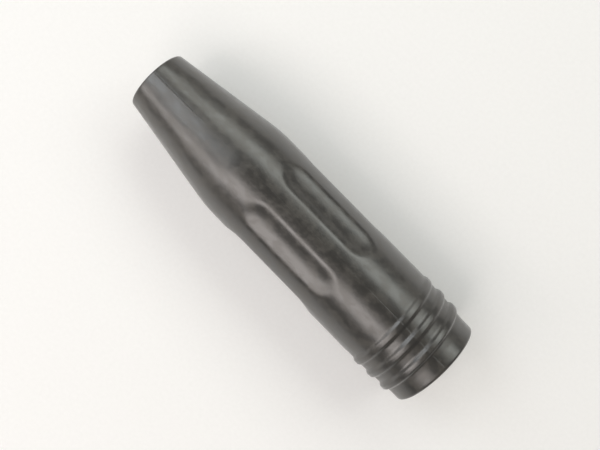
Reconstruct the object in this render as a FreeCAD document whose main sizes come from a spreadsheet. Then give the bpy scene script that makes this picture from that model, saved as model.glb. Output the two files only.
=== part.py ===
import FreeCAD, Part
import math
import os
import re
import Sketcher

# Barrel of a welding torch lead: a tapered, fluted, moulded sleeve with a coarse outer thread,
# and inside it the brass connector core that a captive lock ring screws out of the wide mouth.
#
# Every piece is drawn about one axis. A station is a distance along it from the nose face,
# and an angle of 0 points down, 90 to +Y, 180 up and 270 to -Y once the part lies on its side.
# "Ahead" is towards the mouth and "behind" is towards the nose.

SIZES = [
    ("length", 144.2, "sleeve, nose face to mouth face"),
    ("roll", 4.4, "turn of the whole barrel that leans the mould line towards +Y, degrees"),
    ("gap", 0.3, "running clearance between bodies"),
    ("slip", 0.05, "radial clearance of a sliding pin"),
    ("seat", 0.03, "radial clearance of a fixed seat"),
    ("past", 1.0, "how far a cut runs past a face, and a rib starts inside its wall"),

    ("nose_radius", 12.2, "outside radius at the nose face"),
    ("nose_rounding", 1.2, "rounded outer edge of the nose"),
    ("shoulder_station", 45.1, "where the cone meets the grip"),
    ("shoulder_rounding", 60.0, "soft blend between cone and grip"),
    ("grip_radius", 19.3, "outside radius at the shoulder"),
    ("belly_swell", 0.2, "how much the grip widens towards the thread"),
    ("belly_setback", 28.2, "from the mouth face to where the thread's root starts to fall"),
    ("collar_drop", 0.95, "how much smaller the collar's radius is than the grip's"),
    ("collar_length", 5.2, "plain collar at the mouth"),
    ("mouth_rounding", 1.0, "rounded outer edge of the mouth"),
    ("wall", 3.5, "wall of the grip"),
    ("cone_wall", 3.25, "wall of the cone at its small end, square to the axis"),
    ("recess_wall", 1.55, "wall of the mouth recess"),
    ("key_width", 3.0, "guide rib inside the grip"),
    ("key_height", 1.3, "height of the guide rib"),
    ("key_start", 50.0, "station where the guide rib begins"),
    ("key_end_room", 2.0, "from the guide rib's end to the pin carrier"),

    ("flute_count", 6, "flutes round the grip"),
    ("flute_start", 56.0, "station where a flute begins"),
    ("flute_length", 43.7, "length of a flute"),
    ("flute_depth", 1.6, "depth of a flute's floor"),
    ("flute_hollow", 20.7, "radius of a flute's hollow"),

    ("pitch", 6.5, "pitch of the outer and inner thread, right-handed"),
    ("thread_setback", 25.53, "from the mouth face to the ridge at angle 0"),
    ("ridge_height", 0.8, "how far the outer ridge stands above the grip's radius"),
    ("crest_width", 1.5, "flat of the outer ridge"),
    ("ridge_flank", 1.1, "outer ridge's flank, axial over radial"),
    ("ridge_rise", 330, "angle over which the outer ridge rises out of the grip"),
    ("ridge_sink", 110, "angle over which it sinks again"),
    ("ridge_bury", 0.3, "how deep the outer ridge's foot lies in the wall"),
    ("ridge_end_height", 0.12, "height of the ridge at its two ends"),
    ("ridge_end_room", 0.45, "from the ridge's end to the collar"),
    ("crest_fall", 0.04, "fall of the crest per millimetre near the collar"),
    ("crest_fall_setback", 16.7, "from the mouth face to where the crest starts to fall"),
    ("groove_depth", 0.8, "depth of the inner thread"),
    ("groove_width", 2.2, "floor of the inner thread"),
    ("groove_lead", 110, "angle of inner thread behind the lock ring's thread"),
    ("flank_slope", 0.8, "thread flank, axial over radial"),
    ("flank_gap", 0.38, "axial clearance of the lock ring's thread on each flank"),

    ("cable_radius", 8.0, "bore of the cable bush"),
    ("bush_wall", 2.0, "wall of the cable bush"),
    ("bush_length", 12.0, "length of the cable bush"),
    ("lip_cover", 1.2, "how much of the bush's end the nose lip covers"),
    ("lip_length", 1.6, "thickness of the nose lip"),
    ("clip_thickness", 0.9, "thickness of the spring clips"),
    ("clip_depth", 0.8, "depth of the bush clip's groove"),
    ("clip_land", 0.4, "bore ahead of the bush clip's groove"),
    ("bush_clip_width", 2.0, "radial width of the bush clip"),

    ("socket_room", 1.59, "from the bush's bore to the cable socket's insulator"),
    ("socket_length", 32.0, "length of the cable socket"),
    ("socket_radius", 9.0, "outside radius of the cable socket"),
    ("conductor_radius", 5.5, "bore for the stripped cable"),
    ("conductor_depth", 24.0, "depth of the bore for the stripped cable"),
    ("screw_radius", 2.45, "clamp screw"),
    ("screw_length", 3.0, "clamp screw"),
    ("screw_key", 1.45, "corner radius of a clamp screw's hexagon socket"),
    ("screw_key_depth", 1.5, "depth of a clamp screw's hexagon socket"),
    ("screw_first", 8.0, "from the socket's rear face to the first clamp screw"),
    ("screw_spacing", 10.0, "spacing of the clamp screws"),
    ("insulator_wall", 1.45, "wall of the socket's insulator"),
    ("insulator_overlap", 3.0, "how far the insulator runs ahead of the socket"),
    ("access_room", 0.6, "radial room round a clamp screw in the insulator"),

    ("stem_radius", 5.0, "conductor stem"),
    ("stem_bore", 2.5, "passage for gas and wire"),
    ("stem_seat", 6.0, "depth of the stem in its sockets"),
    ("shaft_groove", 0.6, "depth of a clip's groove in the stem"),
    ("shaft_clip_width", 3.0, "radial width of the disc clip"),
    ("washer_thickness", 1.2, "lock washer and thrust washer"),
    ("nut_thickness", 5.6, "stem nut"),
    ("nut_corner", 8.6, "corner radius of the stem nut"),
    ("disc_station", 70.0, "rear face of the centring disc"),
    ("disc_thickness", 6.0, "centring disc"),
    ("stop_height", 1.5, "stem collar ahead of the disc"),
    ("stop_width", 3.0, "stem collar ahead of the disc"),
    ("relief_count", 6, "lightening holes in the disc"),
    ("relief_radius", 1.8, "lightening hole"),
    ("relief_circle", 12.0, "circle of the lightening holes"),
    ("guide_radius", 2.4, "wire guide tube"),
    ("guide_bore", 1.3, "wire guide tube"),
    ("guide_head", 3.8, "head of the wire guide"),
    ("guide_head_length", 2.0, "head of the wire guide"),
    ("guide_reach", 1.5, "how far the wire guide stands out of the stem"),

    ("carrier_setback", 32.2, "from the mouth face to the rear face of the pin carrier"),
    ("carrier_flange", 5.0, "flange of the pin carrier"),
    ("carrier_length", 19.0, "length of the pin carrier"),
    ("carrier_play", 0.6, "radial room round the carrier's flange"),
    ("washer_play", 0.8, "radial room round the thrust washer"),
    ("plug_radius", 6.5, "outside radius of the plug"),
    ("plug_bore", 4.5, "bore of the plug"),
    ("plug_boss", 1.0, "how much wider the plug is over the stem"),
    ("plug_reach", 3.5, "how far the plug stands ahead of the carrier"),
    ("plug_tail", 9.0, "plug behind the carrier"),
    ("plug_flange", 3.0, "flange that bears on the carrier"),
    ("plug_flange_room", 0.2, "from the flange to the solder tails"),
    ("plug_floor", 0.5, "from the carrier's rear face to the bottom of the plug's bore"),
    ("seal_radius", 0.6, "section radius of a plug seal"),
    ("seal_room", 0.1, "room beside a plug seal in its groove"),
    ("seal_first", 6.5, "from the carrier's rear face to the first plug seal"),
    ("seal_spacing", 5.0, "spacing of the plug seals"),
    ("plug_nut_radius", 7.7, "ring nut on the plug"),
    ("plug_nut_thickness", 2.2, "ring nut on the plug"),
    ("plug_nut_slot", 1.8, "width of the slot across the ring nut"),
    ("plug_nut_slot_depth", 1.0, "depth of the slot across the ring nut"),

    ("pin_circle", 9.3, "distance of a control pin from the axis"),
    ("pin_radius", 1.25, "control pin"),
    ("pin_nose", 1.1, "rounded nose of a control pin"),
    ("pin_flange", 1.85, "flange of a control pin"),
    ("pin_flange_width", 1.9, "flange of a control pin"),
    ("pin_rest", 0.1, "from a pin's flange to its shoulder and to its spring"),
    ("pin_shoulder", 4.1, "front wall of a pin's bore"),
    ("pin_reach", 3.0, "how far a pin stands ahead of the carrier"),
    ("pin_tail", 6.4, "pin's tail inside its spring"),
    ("pin_tail_radius", 1.0, "pin's tail inside its spring"),
    ("spring_radius", 1.75, "outside radius of a pin's spring"),
    ("spring_bore", 1.15, "inside radius of a pin's spring"),
    ("terminal_length", 3.0, "terminal plug behind each spring"),
    ("tail_length", 4.0, "solder tail of a terminal"),
    ("tail_radius", 0.8, "solder tail of a terminal"),
    ("lead_radius", 0.9, "control lead"),
    ("splice_radius", 1.6, "crimp splice"),
    ("splice_room", 1.2, "from the stem nut to the splices"),
    ("splice_length", 9.0, "crimp splice"),

    ("ring_back", 10.4, "part of the lock ring that turns on the hub"),
    ("ring_front", 5.3, "part of the lock ring ahead of its clip"),
    ("ring_wall", 1.2, "wall of the lock ring ahead of its clip"),
    ("clip_stand", 1.4, "how far the lock ring's clip stands above the hub"),
    ("hub_groove", 0.5, "depth of the clip's groove in the hub"),
    ("slot_count", 6, "spanner slots"),
    ("slot_width", 4.0, "spanner slot"),
    ("slot_depth", 2.2, "spanner slot"),
    ("ring_thread_back", 2.15, "from the lock ring's rear face to the start of its thread"),
    ("ring_thread_front", 3.1, "from the lock ring's front face to the end of its thread"),
]

# Sizes and stations that follow from the sizes above.
DERIVED = {
    "belly_radius": "grip_radius + belly_swell",
    "belly_station": "length - belly_setback",
    "collar_radius": "grip_radius - collar_drop",
    "collar_station": "length - collar_length",
    "crest_radius": "grip_radius + ridge_height",
    "crest_fall_station": "length - crest_fall_setback",
    "thread_station": "length - thread_setback",
    "bore_radius": "grip_radius - wall",
    "recess_radius": "collar_radius - recess_wall",
    "ridge_start": "(belly_station - thread_station) / pitch * 360",
    "ridge_end": "(collar_station - ridge_end_room - thread_station) / pitch * 360",
    "groove_end": "(collar_station + groove_width + past - thread_station) / pitch * 360",
    "clip_slot": "clip_thickness + 2 * seat",
    "bush_radius": "cable_radius + bush_wall",
    "lip_radius": "bush_radius - lip_cover",
    "bush_front": "lip_length + bush_length",
    "clip_groove_front": "bush_front + clip_slot",
    "cone_station": "clip_groove_front + clip_land",
    "cone_bore": "nose_radius + (grip_radius - nose_radius) * cone_station / shoulder_station - cone_wall",
    "insulator_station": "cone_station + socket_room",
    "insulator_bore": "socket_radius + seat",
    "insulator_radius": "insulator_bore + insulator_wall",
    "socket_station": "insulator_station + insulator_wall",
    "socket_front": "socket_station + socket_length",
    "conductor_end": "socket_station + conductor_depth",
    "stem_rear": "socket_front - stem_seat",
    "washer_front": "socket_front + washer_thickness",
    "nut_front": "washer_front + nut_thickness",
    "splice_start": "nut_front + splice_room",
    "splice_end": "splice_start + splice_length",
    "stem_groove": "stem_radius - shaft_groove",
    "disc_clip_station": "disc_station - clip_slot",
    "disc_front": "disc_station + disc_thickness",
    "disc_radius": "bore_radius - gap",
    "carrier_station": "length - carrier_setback",
    "flange_front": "carrier_station + carrier_flange",
    "carrier_front": "carrier_station + carrier_length",
    "plug_rear": "carrier_station - plug_tail",
    "plug_front": "carrier_front + plug_reach",
    "plug_bottom": "carrier_station + plug_floor",
    "plug_flange_radius": "pin_circle - tail_radius - plug_flange_room",
    "seal_groove": "plug_bore + 2 * seal_radius + seal_room",
    "stem_front": "plug_rear + stem_seat",
    "ring_radius": "bore_radius - gap",
    "ring_front_bore": "ring_radius - ring_wall",
    "ring_clip_radius": "ring_front_bore - gap",
    "hub_radius": "ring_clip_radius - clip_stand",
    "hub_groove_radius": "hub_radius - hub_groove",
    "ring_rear": "flange_front + washer_thickness + gap",
    "ring_step": "ring_rear + ring_back",
    "ring_face": "ring_step + ring_front",
    "ring_clip_station": "ring_step + gap",
    "ring_thread_start": "(ring_rear + ring_thread_back - thread_station) / pitch * 360",
    "ring_thread_end": "(ring_face - ring_thread_front - thread_station) / pitch * 360",
    "spring_rear": "carrier_station + seat + terminal_length",
    "shoulder_face": "carrier_front - pin_shoulder",
    "pin_flange_front": "shoulder_face - pin_rest",
    "pin_flange_rear": "pin_flange_front - pin_flange_width",
    "spring_front": "pin_flange_rear - pin_rest",
}

SECTIONS_PER_TURN = 12
SIDES = {"left": 90, "right": 270}
UPWARDS = FreeCAD.Rotation(FreeCAD.Vector(0, 1, 0), -90)

doc = FreeCAD.newDocument("TorchBarrel")
sheet = doc.addObject("Spreadsheet::Sheet", "Sizes")
for row, (alias, value, meaning) in enumerate(SIZES, start=1):
    sheet.set(f"A{row}", meaning)
    sheet.set(f"B{row}", str(value))
    sheet.setAlias(f"B{row}", alias)
doc.recompute()


def formula(text):
    """Turns names into cells of the size sheet; a word before a bracket is a function."""
    def cell(word):
        name = word.group()
        return "(" + formula(DERIVED[name]) + ")" if name in DERIVED else "Sizes." + name

    return re.sub(r"[A-Za-z_]\w*(?![\w(])", cell, str(text))


def number(text):
    return float(sheet.evalExpression(formula(text)))


def bind(thing, target, text):
    thing.setExpression(target, formula(text))


# Sketches

def new_body(label):
    body = doc.addObject("PartDesign::Body", label)
    body.Label = label
    return body


def new_sketch(body, name, angle=0):
    """A sketch through the axis, turned to an angle about it: x is a radius and y a station."""
    sketch = body.newObject("Sketcher::SketchObject", name)
    plane = next(item for item in body.Origin.OriginFeatures if item.Role == "XZ_Plane")
    sketch.AttachmentSupport = [(plane, "")]
    sketch.MapMode = "FlatFace"
    turn = FreeCAD.Rotation(FreeCAD.Vector(0, 1, 0), angle)
    sketch.AttachmentOffset = FreeCAD.Placement(FreeCAD.Vector(0, 0, 0), turn)
    return sketch


def constrain(sketch, kind, *places):
    sketch.addConstraint(Sketcher.Constraint(kind, *places))


def hold(sketch, kind, places, text):
    """A constraint whose size follows a formula."""
    index = sketch.addConstraint(Sketcher.Constraint(kind, *places, number(text)))
    bind(sketch, f"Constraints[{index}]", text)


def pin_point(sketch, place, radius, station):
    for kind, axis, text in (("DistanceX", -2, radius), ("DistanceY", -1, station)):
        if text == "0":
            constrain(sketch, "PointOnObject", *place, axis)
        else:
            hold(sketch, kind, (-1, 1, *place), text)


def end_at(sketch, arc, spot):
    """Which end of an arc lies at a spot."""
    return 1 if (sketch.getPoint(arc, 1) - spot).Length < 1e-6 else 2


def draw_outline(sketch, corners):
    """A closed outline of straight sides. A corner is (radius, station), or adds a rounding."""
    spots = [FreeCAD.Vector(number(corner[0]), number(corner[1]), 0) for corner in corners]
    arrive, leave, arcs = list(spots), list(spots), {}
    for i, corner in enumerate(corners):
        if len(corner) == 2:
            continue
        back = (spots[i - 1] - spots[i]).normalize()
        ahead = (spots[(i + 1) % len(spots)] - spots[i]).normalize()
        half = back.getAngle(ahead) / 2
        rounding = number(corner[2])
        arrive[i] = spots[i] + back * (rounding / math.tan(half))
        leave[i] = spots[i] + ahead * (rounding / math.tan(half))
        inward = (back + ahead).normalize()
        middle = spots[i] + inward * (rounding / math.sin(half) - rounding)
        arcs[i] = Part.Arc(arrive[i], middle, leave[i])
    sides = []
    for i in range(len(spots)):
        side = Part.LineSegment(leave[i], arrive[(i + 1) % len(spots)])
        sides.append(sketch.addGeometry(side))
    for i, corner in enumerate(corners):
        before, after = sides[i - 1], sides[i]
        if i not in arcs:
            constrain(sketch, "Coincident", before, 2, after, 1)
            pin_point(sketch, (after, 1), corner[0], corner[1])
            continue
        arc = sketch.addGeometry(arcs[i])
        first = end_at(sketch, arc, arrive[i])
        constrain(sketch, "Tangent", before, 2, arc, first)
        constrain(sketch, "Tangent", after, 1, arc, 3 - first)
        hold(sketch, "Radius", (arc,), corner[2])
        spot = sketch.addGeometry(Part.Point(spots[i]), True)
        constrain(sketch, "PointOnObject", spot, 1, before)
        constrain(sketch, "PointOnObject", spot, 1, after)
        pin_point(sketch, (spot, 1), corner[0], corner[1])


# Features

def turned(label, corners):
    """A body turned about the axis from one closed outline."""
    body = new_body(label)
    sketch = new_sketch(body, label + "_outline")
    draw_outline(sketch, corners)
    turning = body.newObject("PartDesign::Revolution", label + "_turning")
    turning.Profile = sketch
    turning.ReferenceAxis = (sketch, ["V_Axis"])
    turning.Angle = 360
    doc.recompute()
    return body


def tube(label, inner, outer, start, end):
    return turned(label, [(inner, start), (outer, start), (outer, end), (inner, end)])


def primitive(body, kind, name, sizes, spot, rotation=None):
    """Adds or cuts a block, cylinder or prism; spot holds formulas for its x, y and z."""
    piece = body.newObject("PartDesign::" + kind, name)
    if rotation:
        piece.Placement = FreeCAD.Placement(FreeCAD.Vector(0, 0, 0), rotation)
    for target, text in sizes.items():
        bind(piece, target, text)
    for axis, text in zip("xyz", spot):
        bind(piece, f"Placement.Base.{axis}", text)
    before = None if kind.startswith("Additive") else piece.BaseFeature.Shape.Volume
    doc.recompute()
    if before and piece.Shape.Volume > before - 0.1:
        raise RuntimeError(f"{name} cuts nothing")
    return piece


def drill(body, name, radius, depth, spot, rotation=None):
    sizes = {"Radius": radius, "Height": depth}
    return primitive(body, "SubtractiveCylinder", name, sizes, spot, rotation)


def mill(body, name, depth, width, height, spot):
    sizes = {"Length": depth, "Width": width, "Height": height}
    return primitive(body, "SubtractiveBox", name, sizes, spot)


def repeat(body, name, feature, count):
    """Copies a feature evenly about the axis."""
    before = body.Shape.Volume
    pattern = body.newObject("PartDesign::PolarPattern", name)
    pattern.Originals = [feature]
    axis = next(item for item in body.Origin.OriginFeatures if item.Role == "Z_Axis")
    pattern.Axis = (axis, [""])
    pattern.Angle = 360
    bind(pattern, "Occurrences", count)
    body.Tip = pattern
    doc.recompute()
    if body.Shape.Volume > before - 0.1:
        raise RuntimeError(f"{name} cuts nothing")


def split_ring(label, inner, outer, start, thickness):
    """A spring clip or split washer: a flat ring with a gap at the top."""
    body = tube(label, inner, outer, start, f"{start} + {thickness}")
    spot = (f"-({outer}) - past", f"-({inner}) / 4", f"{start} - past")
    mill(body, label + "_gap", outer, f"({inner}) / 2", f"{thickness} + 2 * past", spot)
    return body


def rod(name, radius, side, start, end):
    """A plain rod parallel to the axis, in line with a control pin."""
    piece = doc.addObject("Part::Cylinder", name)
    bind(piece, "Radius", radius)
    bind(piece, "Height", f"({end}) - ({start})")
    bind(piece, "Placement.Base.y", f"pin_circle * sin({SIDES[side]})")
    bind(piece, "Placement.Base.z", start)
    return piece


def combine(kind, label, base, tool):
    """Fuses or cuts two solids, and stops if the tool leaves no mark on the base."""
    result = doc.addObject("Part::" + kind, label)
    result.Label = label
    result.Base = base
    result.Tool = tool
    doc.recompute()
    change = abs(result.Shape.Volume - base.Shape.Volume)
    if change < tool.Shape.Volume / 50:
        raise RuntimeError(f"{label} is the same as {base.Label}")
    return result


def group(label, pieces):
    result = doc.addObject("Part::Compound", label)
    result.Label = label
    result.Links = pieces
    doc.recompute()
    return result


def spiral(name, start, end, section):
    """A ridge that climbs one pitch a turn; section gives its outline at a station.

    It is made in runs of about half a turn, which fuse and cut cleanly where one long run doesn't.
    """
    start, end = number(start), number(end)
    count = math.ceil((end - start) / 180)
    steps = SECTIONS_PER_TURN // 2
    runs = []
    for run in range(count):
        wires = []
        for step in range(steps + 1):
            angle = start + (end - start) * (run + step / steps) / count
            turn = math.radians(angle)
            station = number("thread_station") + number("pitch") * angle / 360
            outline = []
            for radius, along in section(angle, station):
                spot = (radius * math.cos(turn), radius * math.sin(turn), station + along)
                outline.append(FreeCAD.Vector(*spot))
            wires.append(Part.makePolygon(outline + outline[:1]))
        piece = doc.addObject("Part::Feature", f"{name}_run_{run}")
        piece.Shape = Part.makeLoft(wires, True)
        runs.append(piece)
    ridge = doc.addObject("Part::MultiFuse", name)
    ridge.Shapes = runs
    doc.recompute()
    return ridge


def trapezoid(foot_radius, foot_width, crest_radius, crest_width):
    return [
        (foot_radius, -foot_width / 2),
        (crest_radius, -crest_width / 2),
        (crest_radius, crest_width / 2),
        (foot_radius, foot_width / 2),
    ]


# Moulded sleeve

def root_radius(station):
    """Outside radius of the grip under the outer ridge."""
    run = number("collar_station - belly_station")
    share = min(1, max(0, (station - number("belly_station")) / run))
    return number("belly_radius") - number("belly_radius - collar_radius") * share


def outer_ridge(angle, station):
    """The ridge rises slowly over most of its first turn and sinks over the last part."""
    rise = (angle - number("ridge_start")) / number("ridge_rise")
    sink = (number("ridge_end") - angle) / number("ridge_sink")
    share = max(0, min(1, rise, sink))
    smooth = share * share * (3 - 2 * share)
    fall = max(0, station - number("crest_fall_station")) * number("crest_fall")
    full = number("crest_radius") - fall
    root = root_radius(station)
    low = root + number("ridge_end_height")
    crest = low + (full - low) * smooth
    foot = root - number("ridge_bury")
    width = number("crest_width")
    return trapezoid(foot, width + 2 * number("ridge_flank") * (crest - foot), crest, width)


def inner_groove(angle, station):
    floor = number("bore_radius + groove_depth")
    mouth = number("bore_radius - past / 2")
    width = number("groove_width")
    return trapezoid(mouth, width + 2 * number("flank_slope") * (floor - mouth), floor, width)


def ring_thread(angle, station):
    crest = number("bore_radius + groove_depth - gap")
    foot = number("ring_radius - past / 2")
    width = number("groove_width + 2 * flank_slope * gap - 2 * flank_gap")
    return trapezoid(foot, width + 2 * number("flank_slope") * (crest - foot), crest, width)


def draw_flute(sketch):
    """Half of a round-ended bar, to be turned about its own axis beside the grip."""
    hollow = number("flute_hollow")
    centre = number("grip_radius - flute_depth + flute_hollow")
    floor = centre - hollow
    reach = "sqrt(2 * flute_hollow * flute_depth - flute_depth * flute_depth)"
    low_text = f"flute_start + {reach}"
    high_text = f"flute_start + flute_length - {reach}"
    low, high = number(low_text), number(high_text)
    lean = hollow * math.sqrt(0.5)
    low_end = FreeCAD.Vector(centre, low - hollow, 0)
    high_end = FreeCAD.Vector(centre, high + hollow, 0)
    floor_low, floor_high = FreeCAD.Vector(floor, low, 0), FreeCAD.Vector(floor, high, 0)
    high_middle = FreeCAD.Vector(centre - lean, high + lean, 0)
    low_middle = FreeCAD.Vector(centre - lean, low - lean, 0)
    axis = sketch.addGeometry(Part.LineSegment(low_end, high_end), True)
    side = sketch.addGeometry(Part.LineSegment(low_end, high_end))
    bottom = sketch.addGeometry(Part.LineSegment(floor_high, floor_low))
    high_arc = sketch.addGeometry(Part.Arc(high_end, high_middle, floor_high))
    low_arc = sketch.addGeometry(Part.Arc(floor_low, low_middle, low_end))
    constrain(sketch, "Coincident", side, 1, axis, 1)
    constrain(sketch, "Coincident", side, 2, axis, 2)
    constrain(sketch, "Coincident", side, 2, high_arc, end_at(sketch, high_arc, high_end))
    constrain(sketch, "Coincident", side, 1, low_arc, end_at(sketch, low_arc, low_end))
    constrain(sketch, "Tangent", bottom, 1, high_arc, end_at(sketch, high_arc, floor_high))
    constrain(sketch, "Tangent", bottom, 2, low_arc, end_at(sketch, low_arc, floor_low))
    constrain(sketch, "Vertical", side)
    constrain(sketch, "PointOnObject", high_arc, 3, axis)
    constrain(sketch, "PointOnObject", low_arc, 3, axis)
    hold(sketch, "Radius", (high_arc,), "flute_hollow")
    hold(sketch, "DistanceX", (-1, 1, axis, 1), "grip_radius - flute_depth + flute_hollow")
    hold(sketch, "DistanceY", (-1, 1, low_arc, 3), low_text)
    hold(sketch, "DistanceY", (-1, 1, high_arc, 3), high_text)


def grip_sleeve():
    body = turned("sleeve_moulding", [
        ("lip_radius", "0"),
        ("nose_radius", "0", "nose_rounding"),
        ("grip_radius", "shoulder_station", "shoulder_rounding"),
        ("belly_radius", "belly_station"),
        ("collar_radius", "collar_station"),
        ("collar_radius", "length", "mouth_rounding"),
        ("recess_radius", "length"),
        ("recess_radius", "collar_station"),
        ("bore_radius", "collar_station"),
        ("bore_radius", "shoulder_station + past"),
        ("cone_bore", "cone_station"),
        ("bush_radius", "cone_station"),
        ("bush_radius", "clip_groove_front"),
        ("bush_radius + clip_depth", "clip_groove_front"),
        ("bush_radius + clip_depth", "bush_front"),
        ("bush_radius", "bush_front"),
        ("bush_radius", "lip_length"),
        ("lip_radius", "lip_length"),
    ])
    rib_sizes = {
        "Length": "key_height + past / 2",
        "Width": "key_width",
        "Height": "carrier_station - key_end_room - key_start",
    }
    rib_spot = ("bore_radius - key_height", "-key_width / 2", "key_start")
    primitive(body, "AdditiveBox", "guide_rib", rib_sizes, rib_spot)
    half_step = 180 / number("flute_count")
    sketch = new_sketch(body, "flute_outline", angle=half_step)
    draw_flute(sketch)
    flute = body.newObject("PartDesign::Groove", "flute")
    flute.Profile = sketch
    flute.ReferenceAxis = (sketch, ["Axis0"])
    flute.Angle = 360
    doc.recompute()
    repeat(body, "flutes", flute, "flute_count")
    ridge = spiral("outer_ridge", "ridge_start", "ridge_end", outer_ridge)
    moulding = combine("Fuse", "threaded_moulding", body, ridge)
    groove = spiral("inner_groove", "ring_thread_start - groove_lead", "groove_end", inner_groove)
    return combine("Cut", "grip_sleeve", moulding, groove)


def cable_bush():
    return tube("cable_bush", "cable_radius", "bush_radius - seat", "lip_length", "bush_front")


def bush_clip():
    outer = "bush_radius + clip_depth - seat"
    inner = f"{outer} - bush_clip_width"
    return split_ring("bush_clip", inner, outer, "bush_front + seat", "clip_thickness")


# Cable end of the core

def screw_station(index):
    return f"socket_station + screw_first + {index} * screw_spacing"


def cable_socket():
    body = turned("cable_socket", [
        ("conductor_radius", "socket_station"),
        ("socket_radius", "socket_station"),
        ("socket_radius", "socket_front"),
        ("stem_radius + seat", "socket_front"),
        ("stem_radius + seat", "stem_rear"),
        ("stem_bore", "stem_rear"),
        ("stem_bore", "conductor_end"),
        ("conductor_radius", "conductor_end"),
    ])
    for index in range(2):
        spot = ("0", "0", screw_station(index))
        drill(body, f"screw_hole_{index}", "screw_radius + slip", "socket_radius + past", spot, UPWARDS)
    return body


def clamp_screws():
    screws = []
    for index in range(2):
        body = new_body(f"clamp_screw_{index}")
        shank_sizes = {"Radius": "screw_radius", "Height": "screw_length"}
        shank_spot = ("-conductor_radius - slip", "0", screw_station(index))
        primitive(body, "AdditiveCylinder", f"shank_{index}", shank_sizes, shank_spot, UPWARDS)
        key_sizes = {"Circumradius": "screw_key", "Height": "screw_length"}
        key_start = "-conductor_radius - slip - screw_length + screw_key_depth"
        key_spot = (key_start, "0", screw_station(index))
        primitive(body, "SubtractivePrism", f"key_socket_{index}", key_sizes, key_spot, UPWARDS)
        screws.append(body)
    return group("clamp_screws", screws)


def socket_insulator():
    body = turned("socket_insulator", [
        ("conductor_radius + past", "insulator_station"),
        ("insulator_radius", "insulator_station"),
        ("insulator_radius", "socket_front + insulator_overlap"),
        ("insulator_bore", "socket_front + insulator_overlap"),
        ("insulator_bore", "socket_station"),
        ("conductor_radius + past", "socket_station"),
    ])
    for index in range(2):
        spot = ("0", "0", screw_station(index))
        drill(body, f"access_hole_{index}", "screw_radius + access_room", "insulator_radius + past",
              spot, UPWARDS)
    return body


# Conductor stem and what it carries

def conductor_stem():
    return turned("conductor_stem", [
        ("stem_bore", "stem_rear"),
        ("stem_radius", "stem_rear"),
        ("stem_radius", "disc_clip_station"),
        ("stem_groove", "disc_clip_station"),
        ("stem_groove", "disc_station"),
        ("stem_radius", "disc_station"),
        ("stem_radius", "disc_front"),
        ("stem_radius + stop_height", "disc_front"),
        ("stem_radius + stop_height", "disc_front + stop_width"),
        ("stem_radius", "disc_front + stop_width"),
        ("stem_radius", "stem_front"),
        ("stem_bore", "stem_front"),
    ])


def lock_washer():
    inner = "stem_radius + 2 * slip"
    outer = "nut_corner * cos(30) + gap"
    return split_ring("lock_washer", inner, outer, "socket_front", "washer_thickness")


def stem_nut():
    body = new_body("stem_nut")
    sizes = {"Circumradius": "nut_corner", "Height": "nut_thickness"}
    primitive(body, "AdditivePrism", "nut_blank", sizes, ("0", "0", "washer_front"))
    spot = ("0", "0", "washer_front - past")
    drill(body, "nut_hole", "stem_radius + seat", "nut_thickness + 2 * past", spot)
    return body


def centring_disc():
    body = tube("centring_disc", "stem_radius + seat", "disc_radius", "disc_station", "disc_front")
    notch_spot = ("bore_radius - key_height - gap", "-key_width / 2 - gap", "disc_station - past")
    mill(body, "key_notch", "key_height + gap + past", "key_width + 2 * gap",
         "disc_thickness + 2 * past", notch_spot)
    for side, angle in SIDES.items():
        spot = ("0", f"pin_circle * sin({angle})", "disc_station - past")
        drill(body, f"lead_hole_{side}", "lead_radius + gap", "disc_thickness + 2 * past", spot)
    spot = ("relief_circle * cos(30)", "relief_circle * sin(30)", "disc_station - past")
    relief = drill(body, "relief_hole", "relief_radius", "disc_thickness + 2 * past", spot)
    repeat(body, "relief_holes", relief, "relief_count")
    return body


def disc_clip():
    inner = "stem_groove + seat"
    outer = "stem_groove + shaft_clip_width"
    return split_ring("disc_clip", inner, outer, "disc_clip_station + seat", "clip_thickness")


def wire_guide():
    return turned("wire_guide", [
        ("guide_bore", "stem_rear - guide_reach"),
        ("guide_radius", "stem_rear - guide_reach"),
        ("guide_radius", "plug_bottom"),
        ("guide_head", "plug_bottom"),
        ("guide_head", "plug_bottom + guide_head_length"),
        ("guide_bore", "plug_bottom + guide_head_length"),
    ])


# Plug end of the core

def seal_station(index):
    return f"carrier_station + seal_first + {index} * seal_spacing"


def plug_body():
    corners = [
        ("stem_radius + seat", "plug_rear"),
        ("plug_radius + plug_boss", "plug_rear"),
        ("plug_radius + plug_boss", "carrier_station - plug_flange"),
        ("plug_flange_radius", "carrier_station - plug_flange"),
        ("plug_flange_radius", "carrier_station"),
        ("plug_radius", "carrier_station"),
        ("plug_radius", "plug_front"),
        ("plug_bore", "plug_front"),
    ]
    for index in (1, 0):
        front = f"{seal_station(index)} + seal_radius + seal_room"
        rear = f"{seal_station(index)} - seal_radius - seal_room"
        corners += [("plug_bore", front), ("seal_groove", front), ("seal_groove", rear), ("plug_bore", rear)]
    corners += [
        ("plug_bore", "plug_bottom"),
        ("stem_bore", "plug_bottom"),
        ("stem_bore", "stem_front"),
        ("stem_radius + seat", "stem_front"),
    ]
    return turned("plug_body", corners)


def plug_seals():
    seals = []
    for index in range(2):
        seal = doc.addObject("Part::Torus", f"seal_{index}")
        bind(seal, "Radius1", "plug_bore + slip + seal_radius")
        bind(seal, "Radius2", "seal_radius")
        bind(seal, "Placement.Base.z", seal_station(index))
        seals.append(seal)
    return group("plug_seals", seals)


def plug_nut():
    front = "carrier_front + plug_nut_thickness"
    body = tube("plug_nut", "plug_radius + seat", "plug_nut_radius", "carrier_front", front)
    spot = ("-plug_nut_radius - past", "-plug_nut_slot / 2", f"{front} - plug_nut_slot_depth")
    mill(body, "nut_slots", "2 * (plug_nut_radius + past)", "plug_nut_slot", "plug_nut_slot_depth + past", spot)
    return body


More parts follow.
